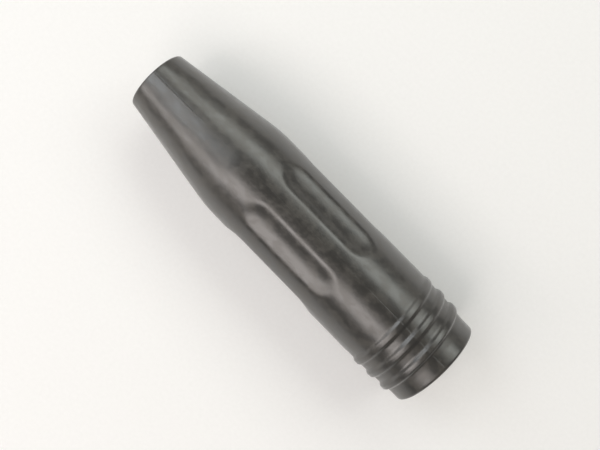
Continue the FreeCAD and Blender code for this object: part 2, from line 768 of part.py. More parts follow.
def pin_carrier():
    body = turned("pin_carrier", [
        ("plug_radius + seat", "carrier_station"),
        ("bore_radius - carrier_play", "carrier_station"),
        ("bore_radius - carrier_play", "flange_front"),
        ("hub_radius", "flange_front"),
        ("hub_radius", "ring_clip_station"),
        ("hub_groove_radius", "ring_clip_station"),
        ("hub_groove_radius", "ring_clip_station + clip_slot"),
        ("hub_radius", "ring_clip_station + clip_slot"),
        ("hub_radius", "carrier_front"),
        ("plug_radius + seat", "carrier_front"),
    ])
    for side, angle in SIDES.items():
        spot = ("0", f"pin_circle * sin({angle})", "carrier_station - past")
        drill(body, f"pin_hole_{side}", "pin_radius + slip", "carrier_length + 2 * past", spot)
        drill(body, f"spring_hole_{side}", "pin_flange + slip", "carrier_length - pin_shoulder + past", spot)
    return body


def thrust_washer():
    front = "flange_front + washer_thickness"
    return tube("thrust_washer", "hub_radius + seat", "bore_radius - washer_play", "flange_front", front)


def ring_clip():
    station = "ring_clip_station + seat"
    return split_ring("ring_clip", "hub_groove_radius + seat", "ring_clip_radius", station, "clip_thickness")


def pin_terminals():
    pieces = []
    for side in SIDES:
        rear, middle = "carrier_station - tail_length", "carrier_station + seat"
        plug = rod(f"terminal_plug_{side}", "pin_flange", side, middle, "spring_rear")
        tail = rod(f"terminal_tail_{side}", "tail_radius", side, rear, middle)
        pieces.append(combine("Fuse", f"terminal_{side}", plug, tail))
    return group("pin_terminals", pieces)


def control_leads():
    end = "carrier_station - tail_length"
    return group("control_leads", [rod(f"lead_{side}", "lead_radius", side, "splice_end", end) for side in SIDES])


def lead_splices():
    pieces = [rod(f"splice_{side}", "splice_radius", side, "splice_start", "splice_end") for side in SIDES]
    return group("lead_splices", pieces)


def pin_spring(side):
    """The spring's outer shape as a tube; its coils are out of sight inside the carrier."""
    outside = rod(f"spring_outside_{side}", "spring_radius", side, "spring_rear", "spring_front")
    inside = rod(f"spring_inside_{side}", "spring_bore", side, "spring_rear - past", "spring_front + past")
    return combine("Cut", f"pin_spring_{side}", outside, inside)


def control_pin(side):
    """A round-nosed contact pin with a flange behind the carrier's front wall."""
    label = f"control_pin_{side}"
    tip = "carrier_front + pin_reach"
    body = turned(label + "_turned", [
        ("0", "pin_flange_rear - pin_tail"),
        ("pin_tail_radius", "pin_flange_rear - pin_tail"),
        ("pin_tail_radius", "pin_flange_rear"),
        ("pin_flange", "pin_flange_rear"),
        ("pin_flange", "pin_flange_front"),
        ("pin_radius", "pin_flange_front"),
        ("pin_radius", tip, "pin_nose"),
        ("0", tip),
    ])
    bind(body, "Placement.Base.y", f"pin_circle * sin({SIDES[side]})")
    return group(label, [body])


def lock_ring():
    body = turned("lock_ring_blank", [
        ("hub_radius + gap", "ring_rear"),
        ("ring_radius", "ring_rear"),
        ("ring_radius", "ring_face"),
        ("ring_front_bore", "ring_face"),
        ("ring_front_bore", "ring_step"),
        ("hub_radius + gap", "ring_step"),
    ])
    spot = ("ring_front_bore - past", "-slot_width / 2", "ring_face - slot_depth")
    slot = mill(body, "spanner_slot", "ring_wall + 2 * past", "slot_width", "slot_depth + past", spot)
    repeat(body, "spanner_slots", slot, "slot_count")
    ridge = spiral("ring_ridge", "ring_thread_start", "ring_thread_end", ring_thread)
    return combine("Fuse", "lock_ring", body, ridge)


NODES = [
    grip_sleeve(), cable_bush(), bush_clip(),
    cable_socket(), clamp_screws(), socket_insulator(),
    conductor_stem(), lock_washer(), stem_nut(), centring_disc(), disc_clip(), wire_guide(),
    plug_body(), plug_seals(), plug_nut(), pin_carrier(), thrust_washer(), ring_clip(),
    pin_terminals(), control_leads(), lead_splices(),
    pin_spring("left"), pin_spring("right"),
    control_pin("left"), control_pin("right"),
    lock_ring(),
]

# The barrel lies on its side: the axis along X at the height of the ridge, the nose towards -X.
ON_ITS_SIDE = FreeCAD.Rotation(FreeCAD.Vector(0, 1, 0), 90)
ROLLED = FreeCAD.Rotation(FreeCAD.Vector(1, 0, 0), -number("roll"))
for node in NODES:
    node.Placement = FreeCAD.Placement(FreeCAD.Vector(0, 0, 0), ROLLED * ON_ITS_SIDE)
    bind(node, "Placement.Base.x", "-length / 2")
    bind(node, "Placement.Base.z", "crest_radius")
doc.recompute()

for item in doc.Objects:
    broken = {"Invalid", "Error"} & set(item.State)
    if broken:
        raise RuntimeError(f"{item.Name} is {broken}")
for node in NODES:
    if node.Shape.isNull() or not node.Shape.isValid() or not node.Shape.Solids:
        raise RuntimeError(f"{node.Label} has no valid solid")

os.makedirs("parts", exist_ok=True)
for node in NODES:
    node.Shape.exportStep(f"parts/{node.Label}.step")
    print(f"{node.Label:20s} solids {len(node.Shape.Solids)}  volume {node.Shape.Volume:9.1f} mm3")
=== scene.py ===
"""Looks of a welding lead's moulded barrel and of the brass connector core inside it.

A station is a distance along the barrel from its nose face. Stations, radii, widths and depths are
in millimetres; places, lamps and all that a Blender call or a material takes are in metres. An angle
goes round the barrel in degrees, from its lower mould line over +Y.
"""
import math

import bpy
import numpy as np
from mathutils import Matrix, Vector


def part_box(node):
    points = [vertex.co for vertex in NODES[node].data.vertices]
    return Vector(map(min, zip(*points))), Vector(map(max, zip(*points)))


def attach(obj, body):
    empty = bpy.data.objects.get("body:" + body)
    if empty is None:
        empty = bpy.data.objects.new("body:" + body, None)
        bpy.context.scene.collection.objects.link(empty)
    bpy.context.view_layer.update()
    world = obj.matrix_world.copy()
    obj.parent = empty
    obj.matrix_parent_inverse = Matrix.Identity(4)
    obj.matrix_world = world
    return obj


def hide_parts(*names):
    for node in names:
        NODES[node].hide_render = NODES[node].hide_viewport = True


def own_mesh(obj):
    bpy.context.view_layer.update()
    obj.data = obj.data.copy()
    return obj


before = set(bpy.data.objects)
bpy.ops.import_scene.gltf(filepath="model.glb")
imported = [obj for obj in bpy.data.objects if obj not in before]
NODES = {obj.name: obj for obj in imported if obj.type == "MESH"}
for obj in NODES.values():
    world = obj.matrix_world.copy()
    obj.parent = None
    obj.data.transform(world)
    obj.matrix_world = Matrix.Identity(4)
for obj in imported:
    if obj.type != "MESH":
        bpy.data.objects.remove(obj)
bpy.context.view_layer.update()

AXIS_Z = 0.0201
BARREL_AXIS = (0.0, AXIS_Z)
NOSE_X = -0.0721
ROLL = math.radians(4.4)
SAME_SPOT = 1e-6
FAINTEST_WEIGHT = 1e-4
SHARP_ABOVE = 40


# Modelling by hand

def along(station):
    """Where a station lies on the X axis."""
    return NOSE_X + station / 1000


def deselect_all():
    if bpy.context.object and bpy.context.object.mode != "OBJECT":
        bpy.ops.object.mode_set(mode="OBJECT")
    bpy.ops.object.select_all(action="DESELECT")


def take_up(piece):
    """Makes one piece the only selected and the active one."""
    deselect_all()
    piece.select_set(True)
    bpy.context.view_layer.objects.active = piece


def open_piece(piece):
    """Opens one piece in edit mode with nothing picked."""
    take_up(piece)
    bpy.ops.object.mode_set(mode="EDIT")
    bpy.ops.mesh.select_all(action="DESELECT")


def corners_of(piece):
    spots = np.empty(len(piece.data.vertices) * 3)
    piece.data.vertices.foreach_get("co", spots)
    return spots.reshape(-1, 3)


def pick_faces(piece, wanted):
    """Selects the faces whose centre and normal pass a test, and leaves edit mode open."""
    bpy.ops.object.mode_set(mode="OBJECT")
    mesh = piece.data
    centres = np.empty(len(mesh.polygons) * 3)
    normals = np.empty(len(mesh.polygons) * 3)
    mesh.polygons.foreach_get("center", centres)
    mesh.polygons.foreach_get("normal", normals)
    picked = wanted(centres.reshape(-1, 3), normals.reshape(-1, 3))
    mesh.vertices.foreach_set("select", np.zeros(len(mesh.vertices), bool))
    mesh.edges.foreach_set("select", np.zeros(len(mesh.edges), bool))
    mesh.polygons.foreach_set("select", picked)
    bpy.ops.object.mode_set(mode="EDIT")
    bpy.ops.mesh.select_mode(type="FACE")


def polar(spots):
    """Station, radius and angle about the barrel's axis, for an array of points."""
    y, z = spots[:, 1], spots[:, 2] - AXIS_Z
    angle = np.degrees(np.arctan2(y, -z) + ROLL) % 360
    return (spots[:, 0] - NOSE_X) * 1000, np.hypot(y, z) * 1000, angle


def off_angle(angle, middle):
    """How many degrees an angle lies from another, either way round."""
    return np.abs((angle - middle + 180) % 360 - 180)


def middle_of(node):
    """Where a node's own axis lies across the barrel, as (y, z)."""
    low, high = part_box(node)
    return ((low.y + high.y) / 2, (low.z + high.z) / 2)


def close_up(piece):
    """Merges doubles and turns every face outwards."""
    open_piece(piece)
    bpy.ops.mesh.select_all(action="SELECT")
    bpy.ops.mesh.remove_doubles(threshold=SAME_SPOT)
    bpy.ops.mesh.normals_make_consistent(inside=False)
    bpy.ops.object.mode_set(mode="OBJECT")


def cap_ends(piece):
    """Closes the open ends of a piece that was swept only part of the way round."""
    open_piece(piece)
    bpy.ops.mesh.select_mode(type="EDGE")
    bpy.ops.mesh.select_non_manifold()
    bpy.ops.mesh.fill_holes(sides=0)
    bpy.ops.mesh.select_all(action="SELECT")
    bpy.ops.mesh.normals_make_consistent(inside=False)
    bpy.ops.object.mode_set(mode="OBJECT")


def shift(piece, step):
    """Moves the whole mesh of a piece."""
    open_piece(piece)
    bpy.ops.mesh.select_all(action="SELECT")
    bpy.ops.transform.translate(value=step)
    bpy.ops.object.mode_set(mode="OBJECT")


def roll_round(piece, angle):
    """Turns the whole mesh of a piece about the barrel's axis, on top of the barrel's own roll."""
    swing = Matrix.Rotation(math.radians(angle) - ROLL, 4, "X")
    to_axis = Matrix.Translation((0, 0, AXIS_Z))
    piece.data.transform(to_axis @ swing @ to_axis.inverted())


def apply_modifiers(piece):
    take_up(piece)
    for modifier in list(piece.modifiers):
        bpy.ops.object.modifier_apply(modifier=modifier.name)


def cut_with(piece, tool, operation):
    """Cuts a piece with another closed shape, which is then thrown away."""
    cut = piece.modifiers.new("cut", "BOOLEAN")
    cut.operation = operation
    cut.solver = "EXACT"
    cut.object = tool
    apply_modifiers(piece)
    bpy.data.objects.remove(tool)


def round_edges(piece, width):
    """Rounds every sharp edge of a piece."""
    bevel = piece.modifiers.new("rounded edges", "BEVEL")
    bevel.width = width / 1000
    bevel.segments = 3
    bevel.limit_method = "ANGLE"
    bevel.angle_limit = math.radians(SHARP_ABOVE)
    bevel.use_clamp_overlap = True
    apply_modifiers(piece)


def shape_by_weight(piece, name, weights, height):
    """Raises the surface by a height times a painted weight, or sinks it if below zero."""
    group = piece.vertex_groups.new(name=name)
    for i in np.nonzero(weights > FAINTEST_WEIGHT)[0]:
        group.add([int(i)], float(weights[i]), "REPLACE")
    modifier = piece.modifiers.new(name, "DISPLACE")
    modifier.vertex_group = name
    modifier.mid_level = 0
    modifier.strength = height / 1000
    apply_modifiers(piece)


def settle(piece, smooth_below=35):
    """Puts a finished piece's place in its mesh and shades its gentle edges smooth."""
    take_up(piece)
    bpy.ops.object.transform_apply(location=True, rotation=True, scale=True)
    bpy.ops.object.shade_smooth_by_angle(angle=math.radians(smooth_below))


def finish_piece(piece, body, slot, material, *stands_for):
    """Gives a piece its material, the body that it rides and the CAD nodes that it stands in for."""
    piece.data.materials.clear()
    piece.data.materials.append(material)
    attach(piece, body)
    if stands_for:
        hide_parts(*stands_for)
    return piece


def copy_across(piece, name, old_node, new_node):
    """A copy with its own mesh, moved from one node's axis to another's."""
    copy = piece.copy()
    copy.data = piece.data.copy()
    copy.name = copy.data.name = name
    bpy.context.scene.collection.objects.link(copy)
    (y0, z0), (y1, z1) = middle_of(old_node), middle_of(new_node)
    shift(copy, (0, y1 - y0, z1 - z0))
    return copy


# Outlines and turning

def draw_outline(name, points, middle):
    """A chain of edges through (station, radius) points, drawn out from a single corner."""
    deselect_all()
    station, radius = points[0]
    spot = (along(station), middle[0], middle[1] + radius / 1000)
    bpy.ops.mesh.primitive_plane_add(size=0.001, location=spot)
    bpy.ops.object.transform_apply(location=True, rotation=True, scale=True)
    piece = bpy.context.object
    piece.name = piece.data.name = name
    bpy.ops.object.mode_set(mode="EDIT")
    bpy.ops.mesh.select_mode(type="VERT")
    bpy.ops.mesh.select_all(action="SELECT")
    bpy.ops.mesh.merge(type="CENTER")
    for (s0, r0), (s1, r1) in zip(points, points[1:]):
        step = ((s1 - s0) / 1000, 0, (r1 - r0) / 1000)
        bpy.ops.mesh.extrude_vertices_move(TRANSFORM_OT_translate={"value": step})
    bpy.ops.mesh.select_all(action="SELECT")
    bpy.ops.mesh.remove_doubles(threshold=SAME_SPOT)
    return piece


def turn(name, points, columns=96, soften=0.0, middle=BARREL_AXIS, sweep=360):
    """A piece turned from an outline of (station, radius) points, with its corners softened.

    An outline that stays off the axis is closed first; one that starts and ends on it is a solid rod.
    """
    hollow = points[0][1] > 0
    piece = draw_outline(name, points + points[:1] if hollow else points, middle)
    if soften:
        bpy.ops.object.mode_set(mode="OBJECT")
        off_axis = corners_of(piece)[:, 2] > middle[1] + SAME_SPOT
        piece.data.vertices.foreach_set("select", off_axis)
        bpy.ops.object.mode_set(mode="EDIT")
        bpy.ops.mesh.bevel(offset=soften / 1000, segments=3, affect="VERTICES", clamp_overlap=True)
    bpy.ops.mesh.select_all(action="SELECT")
    bpy.ops.mesh.spin(steps=columns, angle=math.radians(sweep), center=(0, *middle), axis=(1, 0, 0))
    bpy.ops.object.mode_set(mode="OBJECT")
    close_up(piece)
    return piece


def evenly(start, end, step):
    """Points on a straight run, about a step apart, without the last one."""
    count = max(1, round(math.dist(start, end) / step))
    return [tuple(a + (b - a) * i / count for a, b in zip(start, end)) for i in range(count)]


def legs(start, *ends_and_steps):
    """Points on straight runs that follow each other, each given as its end and its step."""
    points = []
    for end, step in ends_and_steps:
        points += evenly(start, end, step)
        start = end
    return points


def rounded(before, corner, after, radius, count):
    """Points on the arc that rounds a corner of an outline."""
    corner = Vector(corner)
    back, ahead = (Vector(before) - corner).normalized(), (Vector(after) - corner).normalized()
    half = back.angle(ahead) / 2
    reach = radius / math.tan(half)
    centre = corner + (back + ahead).normalized() * (radius / math.sin(half))
    start, end = corner + back * reach - centre, corner + ahead * reach - centre
    sweep = start.angle_signed(end)
    arc = []
    for i in range(count + 1):
        swing = -sweep * i / count
        spot = Vector((start.x * math.cos(swing) - start.y * math.sin(swing),
                       start.x * math.sin(swing) + start.y * math.cos(swing)))
        arc.append(tuple(centre + spot))
    return arc


# Threads

PITCH = 6.5
THREAD_STATION = 118.67
THREAD_DEPTH = 0.8
THREAD_FLANK = 0.66
LAPS = range(-1, 5)


def beside_helix(station, angle, start, end):
    """How far a vertex lies on the mouth side of a thread's centre line, and how far round it lies."""
    far_off = 99.0
    best = np.full(len(station), far_off)
    turned = np.zeros(len(station))
    for lap in LAPS:
        sweep = angle + 360 * lap
        past = station - THREAD_STATION - PITCH * sweep / 360
        near = (np.abs(past) < np.abs(best)) & (sweep >= start) & (sweep <= end)
        best = np.where(near, past, best)
        turned = np.where(near, sweep, turned)
    return best, turned


def flat_topped(past, half_flat):
    """A thread's section: one on its flat, and down to zero over a straight flank."""
    return np.clip(1 - (np.abs(past) - half_flat) / THREAD_FLANK, 0, 1)


def smoothstep(share):
    share = np.clip(share, 0, 1)
    return share * share * (3 - 2 * share)


def soft_floor(value, blend):
    """The value, or zero where it is negative, with a rounded change between the two."""
    rounded_part = (value + blend) ** 2 / (4 * blend)
    return np.where(value > blend, value, np.where(value < -blend, 0, rounded_part))


# Moulded sleeve

NOSE, SHOULDER, BELLY, COLLAR, MOUTH = (0, 12.2), (45.1, 19.3), (116, 19.5), (139, 18.35), (144.2, 18.35)
THREAD_ROOT = [BELLY, (130, 19.15), (136, 18.6), COLLAR]
WALL_MIDDLE = [(0, 10.6), (45.1, 17.7), (139, 17.6), (144.2, 17.2)]
LIP, BUSH_SEAT, BUSH_CLIP_GROOVE, BORE, RECESS = 8.8, 10, 10.8, 15.8, 16.8
THREAD_FRONT = 139.0

FLUTES = [30 + 60 * i for i in range(6)]
FLUTE_RUN = (62.8, 91.6)
FLUTE_HALF_WIDTH, FLUTE_END, FLUTE_DEPTH, FLUTE_LIP = 4.95, 6.0, 1.27, 0.55
FLUTED_RADIUS = 19.4

RIDGE_START, RIDGE_END = -147.9, 1101.0
RIDGE_RISE, RIDGE_SINK = 330, 110
RIDGE_CREST, CREST_FALL, CREST_FALL_START = 20.1, 0.04, 127.5
MOUTH_SIDE_FLAT, MOUTH_SIDE_FLANK = 0.7, 1.35
NOSE_SIDE_FLAT, NOSE_SIDE_FLANK = 0.45, 1.75
RIDGE_REACH, RIDGE_SCALE = 5, 2

GROOVE_START, GROOVE_END = -0.3, 1303.0
GROOVE_HALF_FLAT, GROOVE_SHARE = 1.1, 0.7
FIRST_GROOVED = 117

RIB_HALF_ANGLE, RIB_START, RIB_END, RIB_HEIGHT = 5.3, 50, 110, 1.3


def sleeve_outline():
    """The sleeve's wall in section: outside from nose to mouth, then inside from mouth to nose."""
    cone_end = (39, 12.2 + 7.1 * 39 / 45.1)
    points = [(0, LIP), (0, 9.6)]
    points += rounded((0, LIP), NOSE, SHOULDER, 0.8, 8)
    points += evenly(points[-1], cone_end, 1.1)
    points += rounded(NOSE, SHOULDER, BELLY, 60, 14)
    points += legs(points[-1], ((53, 19.322), 1.2), ((102, 19.46), 0.75), ((112, 19.489), 1.2), (BELLY, 0.42),
                   *((end, 0.3) for end in THREAD_ROOT[1:]), ((143.2, 18.35), 0.5))
    points += rounded(COLLAR, MOUTH, (144.2, 17), 1.0, 6)
    points += [(144.2, 17.1), (144.05, RECESS)]
    points += evenly((143.9, RECESS), (THREAD_FRONT, RECESS), 1.0)
    points += [(THREAD_FRONT, RECESS), (THREAD_FRONT, 16.64)]
    points += legs((THREAD_FRONT, BORE), ((116.5, BORE), 0.4), ((50, BORE), 6), ((46.1, BORE), 2),
                   ((14.96, 11.305), 6))
    points += [(14.96, 11.305), (14.96, BUSH_SEAT), (14.56, BUSH_SEAT), (14.56, BUSH_CLIP_GROOVE),
               (13.6, BUSH_CLIP_GROOVE), (13.6, BUSH_SEAT), (1.6, BUSH_SEAT), (1.6, LIP)]
    return points


def flute_hollow(station, angle):
    """How deep each vertex lies in a flute, from zero to one."""
    hollow = np.zeros(len(station))
    for flute in FLUTES:
        across = off_angle(angle, flute) * np.pi / 180 * FLUTED_RADIUS
        beyond = station - np.clip(station, *FLUTE_RUN)
        away = np.hypot(across / FLUTE_HALF_WIDTH, beyond / FLUTE_END)
        hollow = np.maximum(hollow, soft_floor(1 - away ** 2, FLUTE_LIP))
    return hollow


def outer_ridge(station, angle):
    """How far the outer thread stands above its root; the flank towards the mouth is the steeper one."""
    past, turned = beside_helix(station, angle, RIDGE_START, RIDGE_END)
    root = np.interp(station, *zip(*THREAD_ROOT))
    crest = RIDGE_CREST - CREST_FALL * np.maximum(0, station - CREST_FALL_START)
    ends = smoothstep(np.minimum((turned - RIDGE_START) / RIDGE_RISE, (RIDGE_END - turned) / RIDGE_SINK))
    down_the_flank = np.where(past > 0, (past - MOUTH_SIDE_FLAT) / MOUTH_SIDE_FLANK,
                              (-past - NOSE_SIDE_FLAT) / NOSE_SIDE_FLANK)
    ridge = (crest - root) * ends * smoothstep(1 - down_the_flank)
    return np.where(np.abs(past) < RIDGE_REACH, ridge, 0)


def inner_groove(station, radius, angle):
    """The inner thread. The corner at its front moves aslant, so it takes a full weight, not a share."""
    past = beside_helix(station, angle, GROOVE_START, GROOVE_END)[0]
    bore = (radius < BORE + 0.1) & (station > FIRST_GROOVED) & (station < THREAD_FRONT + 0.05)
    groove = flat_topped(past, GROOVE_HALF_FLAT) * np.where(station > THREAD_FRONT - 0.05, 1, GROOVE_SHARE)
    return np.where(bore, groove, 0)


def raise_guide_rib(piece):
    """Draws the guide rib inwards out of the lowest part of the bore."""
    def on_rib(spots, normals):
        station, radius, angle = polar(spots)
        return ((off_angle(angle, 0) < RIB_HALF_ANGLE) & (radius < BORE + 0.05)
                & (station > RIB_START) & (station < RIB_END))

    open_piece(piece)
    pick_faces(piece, on_rib)
    bpy.ops.mesh.extrude_region_shrink_fatten(TRANSFORM_OT_shrink_fatten={"value": RIB_HEIGHT / 1000})
    bpy.ops.object.mode_set(mode="OBJECT")


def make_sleeve():
    """Grip with six flutes, a rounded thread outside its mouth, and a thread and a guide rib inside."""
    piece = turn("moulded_sleeve", sleeve_outline(), columns=240)
    station, radius, angle = polar(corners_of(piece))
    outside = radius > np.interp(station, *zip(*WALL_MIDDLE))
    shape_by_weight(piece, "flutes", np.where(outside, flute_hollow(station, angle), 0), -FLUTE_DEPTH)
    ridge = np.where(outside, outer_ridge(station, angle) / RIDGE_SCALE, 0)
    shape_by_weight(piece, "outer thread", ridge, RIDGE_SCALE)
    groove = inner_groove(station, radius, angle)
    shape_by_weight(piece, "inner thread", groove, -THREAD_DEPTH / GROOVE_SHARE)
    raise_guide_rib(piece)
    settle(piece, 40)
    return piece


# Pieces inside the sleeve

def raise_lands(piece, floor, rise, is_land):
    """Pushes parts of a flat front face forwards, which leaves slots between them."""
    def on_land(spots, normals):
        station, _, angle = polar(spots)
        return (normals[:, 0] > 0.9) & (np.abs(station - floor) < 0.05) & is_land(angle)

    open_piece(piece)
    pick_faces(piece, on_land)
    bpy.ops.mesh.extrude_region_move(TRANSFORM_OT_translate={"value": (rise / 1000, 0, 0)})
    bpy.ops.object.mode_set(mode="OBJECT")


def cut_holes(piece, middles, radius, start, end):
    """Drills round holes parallel to the barrel through part of a piece."""
    for y, z in middles:
        deselect_all()
        bpy.ops.mesh.primitive_cylinder_add(vertices=40, radius=radius / 1000, depth=(end - start) / 1000,
                                            location=(along((start + end) / 2), y, z),
                                            rotation=(0, math.pi / 2, 0))
        cut_with(piece, bpy.context.object, "DIFFERENCE")


def make_cable_bush():
    """Rubber bush with a lip at each end of its bore and grip grooves inside."""
    grooves = []
    for station in (10.6, 8.6, 6.6, 4.6):
        grooves += [(station + 0.6, 8.0), (station + 0.4, 8.3), (station - 0.4, 8.3), (station - 0.6, 8.0)]
    points = [(1.6, 8.35), (1.6, 9.97), (13.6, 9.97), (13.6, 8.3), (13.3, 8.0)] + grooves + [(1.95, 8.0)]
    piece = turn("rubber_cable_bush", points, columns=96, soften=0.12)
    settle(piece)
    return piece


def make_plug_body():
    """Brass plug socket: a flange behind the carrier, a stem seat, and two seal grooves in its bore."""
    points = [(103.0, 5.03), (103.0, 7.5), (109.0, 7.5), (109.0, 8.3), (112.0, 8.3), (112.0, 6.5),
              (134.0, 6.5), (134.5, 6.05), (134.5, 5.0), (134.05, 4.5)]
    for station in (123.5, 118.5):
        points += [(station + 0.7, 4.5), (station + 0.7, 5.8), (station - 0.7, 5.8), (station - 0.7, 4.5)]
    points += [(112.5, 4.5), (112.5, 2.5), (109.0, 2.5), (109.0, 5.03)]
    piece = turn("brass_plug", points, columns=96, soften=0.12)
    settle(piece)
    return piece


def make_plug_nut():
    """Ring nut with a driver slot across its front face."""
    slot_floor, slot_depth, half_slot, middle_radius = 132.2, 1.0, 0.9, 7.1
    piece = turn("slotted_ring_nut", [(131.0, 6.53), (131.0, 7.7), (slot_floor, 7.7), (slot_floor, 6.53)],
                 columns=120)
    raise_lands(piece, slot_floor, slot_depth, lambda angle: (
        np.abs((angle + 90) % 180 - 90) > np.degrees(half_slot / middle_radius)))
    round_edges(piece, 0.12)
    settle(piece)
    return piece


def make_pin_carrier():
    """Insulating carrier: a flange behind, a hub for the lock ring, and a hole for each control pin."""
    points = [(112.0, 6.53), (112.0, 15.2), (117.0, 15.2), (117.0, 12.6), (129.2, 12.6), (129.2, 12.1),
              (130.16, 12.1), (130.16, 12.6), (131.0, 12.6), (131.0, 6.53)]
    piece = turn("pin_carrier_moulding", points, columns=120, soften=0.15)
    pins = [middle_of("control_pin_left"), middle_of("control_pin_right")]
    cut_holes(piece, pins, 1.9, 111, 126.9)
    cut_holes(piece, pins, 1.3, 126, 132)
    settle(piece)
    return piece


def make_lock_ring():
    """Ring with six spanner slots in its front rim and a coarse thread round it."""
    slot_depth, half_slot, middle_radius = 2.2, 2.0, 14.9
    thread_start, thread_end, thread_half_flat = 109.7, 688.4, 0.9
    rim_floor = 134.2 - slot_depth
    points = [(118.5, 12.9), (118.5, 15.5)] + evenly((119.0, 15.5), (131.6, 15.5), 0.21)
    points += [(131.6, 15.5), (rim_floor, 15.5), (rim_floor, 14.3), (128.9, 14.3), (128.9, 12.9)]
    piece = turn("lock_ring_moulding", points, columns=240)
    raise_lands(piece, rim_floor, slot_depth, lambda angle: (
        np.abs((angle + 30) % 60 - 30) > np.degrees(half_slot / middle_radius)))
    round_edges(piece, 0.22)
    station, radius, angle = polar(corners_of(piece))
    past = beside_helix(station, angle, thread_start, thread_end)[0]
    outer = (radius > 15.3) & (station > 118.9) & (station < 131.65)
    shape_by_weight(piece, "thread", np.where(outer, flat_topped(past, thread_half_flat), 0), THREAD_DEPTH)
    settle(piece)
    return piece


def make_split_clip(name, inner, outer, station, thickness):
    """A flat spring clip with rounded edges; the gap at its top is half its inner radius wide."""
    points = [(station, inner), (station, outer), (station + thickness, outer), (station + thickness, inner)]
    half_gap = math.degrees(math.asin(inner / 4 / ((inner + outer) / 2)))
    piece = turn(name, points, columns=72, sweep=360 - 2 * half_gap)
    cap_ends(piece)
    roll_round(piece, half_gap)
    round_edges(piece, 0.15)
    settle(piece)
    return piece


def make_stem_nut():
    """Hexagon nut with its corners chamfered at both faces."""
    deselect_all()
    bpy.ops.mesh.primitive_cylinder_add(vertices=6, radius=0.0086, depth=0.0056,
                                        location=(along(54.0), 0, AXIS_Z), rotation=(0, math.pi / 2, 0))
    piece = bpy.context.object
    piece.name = piece.data.name = "hexagon_nut"
    bpy.ops.object.transform_apply(location=True, rotation=True, scale=True)
    roll_round(piece, 30)
    chamfer = [(51.2, 5.03), (51.2, 7.35), (52.0, 8.7), (56.0, 8.7), (56.8, 7.35), (56.8, 5.03)]
    cut_with(piece, turn("chamfer", chamfer), "INTERSECT")
    round_edges(piece, 0.1)
    settle(piece)
    return piece


def make_control_pin():
    """Turned contact pin: round nose, flange, and a tail that the spring slides over."""
    tip, nose_radius, flat = 134.0, 1.1, 0.15
    nose = [(tip - nose_radius + nose_radius * math.sin(math.radians(a)),
             flat + nose_radius * math.cos(math.radians(a))) for a in range(0, 91, 15)]
    points = [(118.5, 0), (118.5, 0.75), (118.75, 1.0), (122.9, 1.0), (122.9, 1.75), (123.0, 1.85),
              (124.6, 1.85), (124.7, 1.75), (124.7, 1.25), (131.6, 1.25), (131.7, 1.18), (131.9, 1.18),
              (132.0, 1.25)] + nose + [(tip, 0)]
    piece = turn("contact_pin_left", points, columns=36, middle=middle_of("control_pin_left"))
    settle(piece)
    return piece


def make_pin_spring():
    """Compression spring wound from round wire."""
    turns, wire_radius, outer_radius, length = 7.5, 0.29, 1.75, 9.77
    y, z = middle_of("pin_spring_left")
    deselect_all()
    bpy.ops.mesh.primitive_circle_add(vertices=10, radius=wire_radius / 1000, fill_type="NOTHING",
                                      location=(0, 0, 0), rotation=(math.pi / 2, 0, 0))
    piece = bpy.context.object
    piece.name = piece.data.name = "pin_spring_coil_left"
    bpy.ops.object.transform_apply(location=True, rotation=True, scale=True)
    shift(piece, (0, 0, (outer_radius - wire_radius) / 1000))
    winding = piece.modifiers.new("winding", "SCREW")
    winding.axis = "X"
    winding.angle = 2 * math.pi * turns
    winding.screw_offset = (length - 2 * wire_radius) / 1000
    winding.steps = winding.render_steps = round(24 * turns)
    winding.use_merge_vertices = False
    apply_modifiers(piece)
    cap_ends(piece)
    rear = corners_of(piece)[:, 0].min()
    shift(piece, (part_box("pin_spring_left")[0].x - rear, y, z))
    settle(piece, 60)
    return piece


# Node groups for the materials

